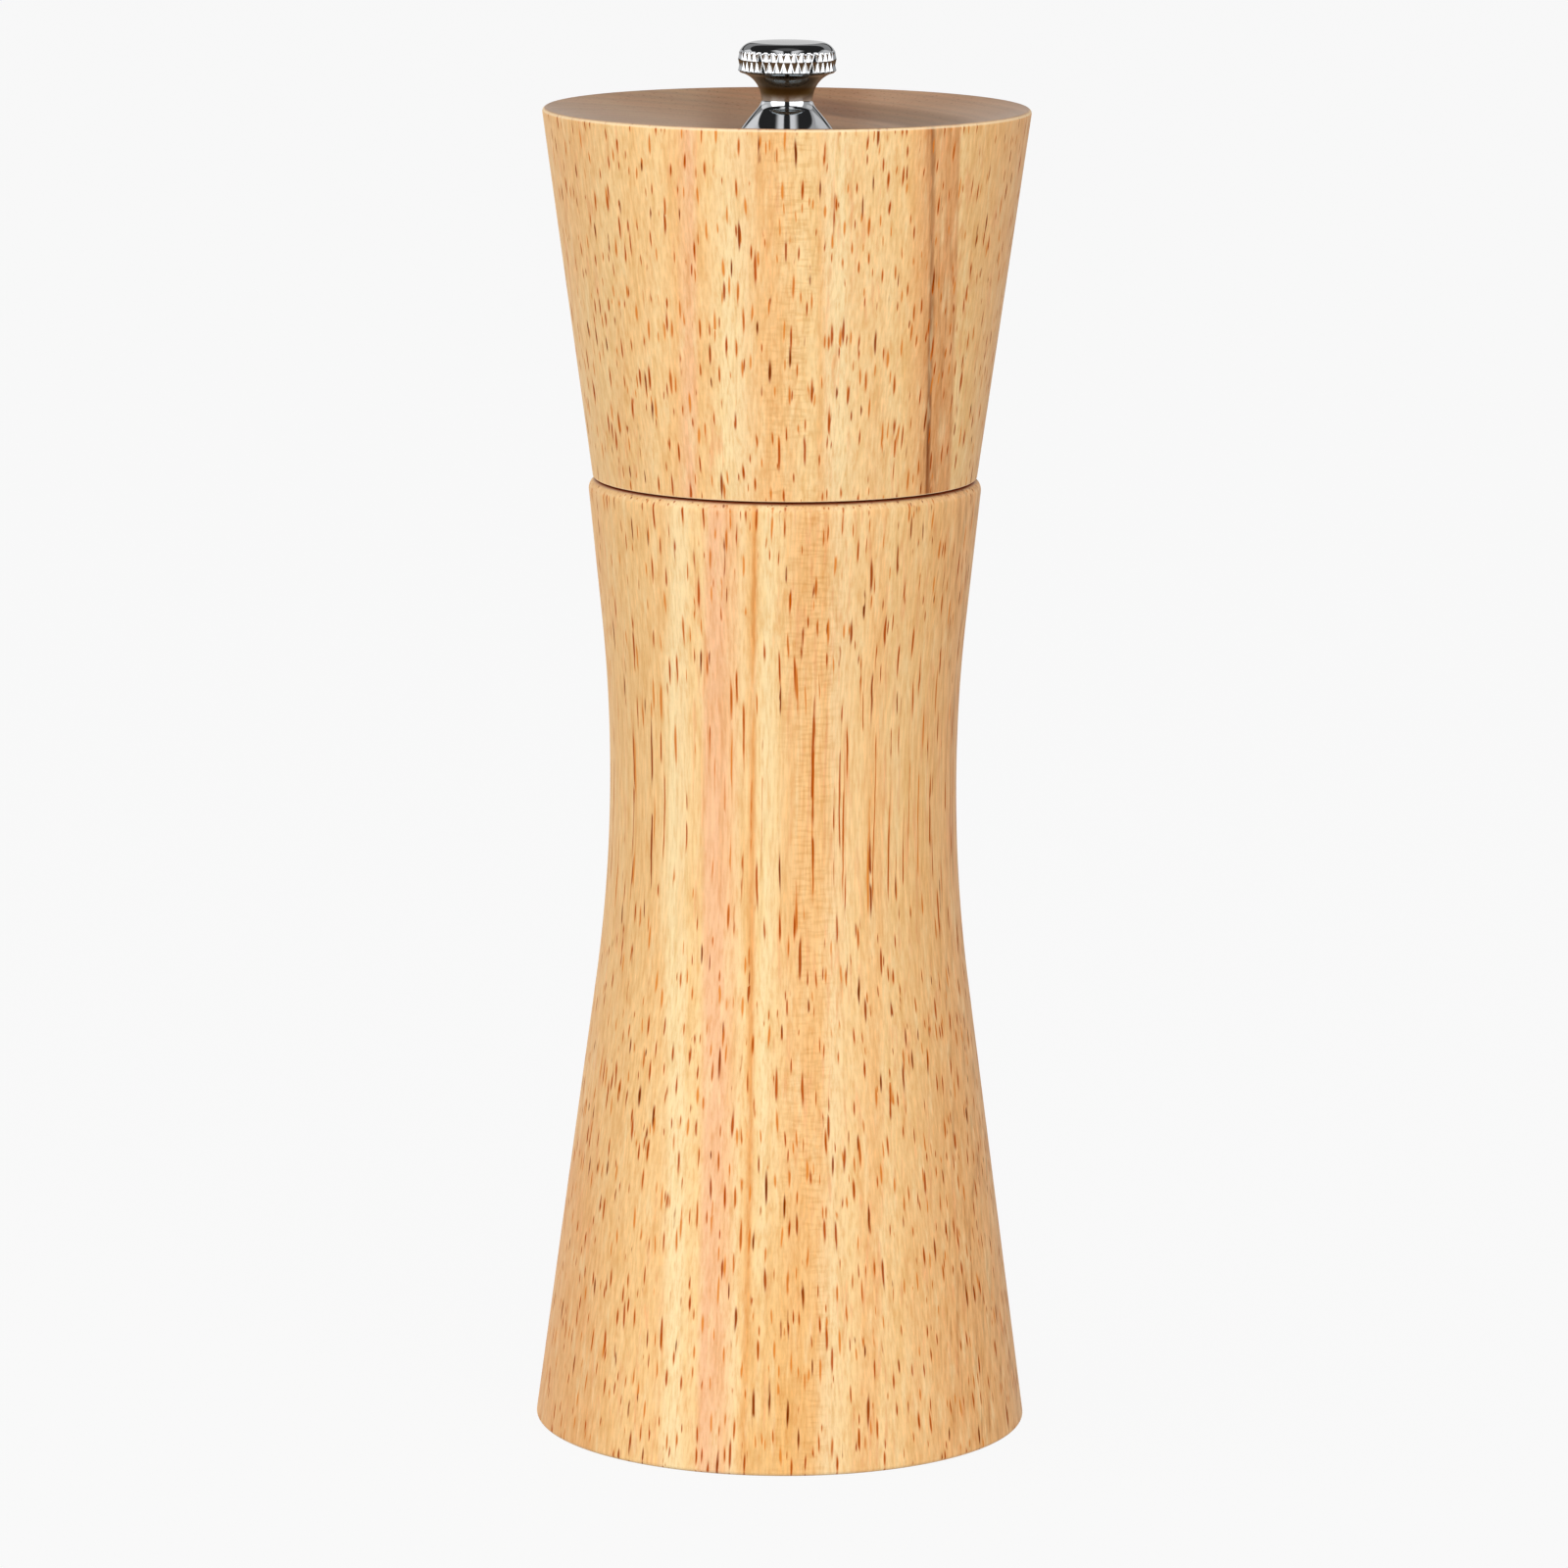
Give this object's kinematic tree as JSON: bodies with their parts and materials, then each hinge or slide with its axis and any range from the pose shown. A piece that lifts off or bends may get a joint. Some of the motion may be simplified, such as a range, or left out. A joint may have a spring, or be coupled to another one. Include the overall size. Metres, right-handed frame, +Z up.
{
  "type": "pepper mill",
  "caption": "Waisted wooden pepper mill with a dished head that turns by hand, a knurled chrome adjusting knob, a square drive shaft and a ceramic grinder in the base.",
  "frame": {"origin": "centre of the base, on the surface that the mill stands on", "axes": "+Z up along the mill's own axis, from the base to the knob; +X through one of the three housing screws"},
  "size_m": [0.0614, 0.0614, 0.1734],
  "materials": {
    "body_wood": "satin lacquer over light rubberwood",
    "head_wood": "satin lacquer over light rubberwood",
    "knob_chrome": "bright chrome plating",
    "steel": "plain zinc-plated steel",
    "shaft_aluminium": "drawn aluminium bar",
    "black_nylon": "moulded black nylon",
    "ceramic": "white sintered ceramic"
  },
  "bodies": {
    "base": {"body_shell": "body_wood", "neck_bush": "black_nylon", "mill_housing": "black_nylon", "housing_screws": "steel", "stator_ring": "ceramic", "stator_retainer": "black_nylon"},
    "carrier": {"thrust_washer": "steel", "spring": "steel"},
    "spindle": {"drive_shaft": "shaft_aluminium", "shaft_clip": "steel", "spring_cup": "steel", "rotor_core": "black_nylon", "rotor": "ceramic", "rotor_washer": "steel", "rotor_screw": "steel"},
    "head": {"head_shell": "head_wood", "top_ferrule": "steel", "drive_plate": "steel", "drive_plate_screws": "steel"},
    "knob": {"knob": "knob_chrome"}
  },
  "joints": [
    {"name": "grind_turn", "type": "hinge", "parent": "base", "child": "carrier", "pos_m": [0, 0, 0.0296], "axis": [0, 0, 1], "continuous": true},
    {"name": "head_lift", "type": "slide", "parent": "carrier", "child": "head", "axis": [0, 0, 1], "range_m": [0, 0.065]},
    {"name": "knob_turn", "type": "hinge", "parent": "head", "child": "knob", "pos_m": [0, 0, 0.162], "axis": [0, 0, 1], "range_deg": [-360, 720]},
    {"name": "spindle_adjust", "type": "slide", "parent": "carrier", "child": "spindle", "axis": [0, 0, 1], "range_m": [-0.0016, 0.0008], "deforming": ["spring"]}
  ],
  "couplings": [
    {"joint": "knob_turn", "follows": "spindle_adjust", "rad_per_m": -7854}
  ]
}
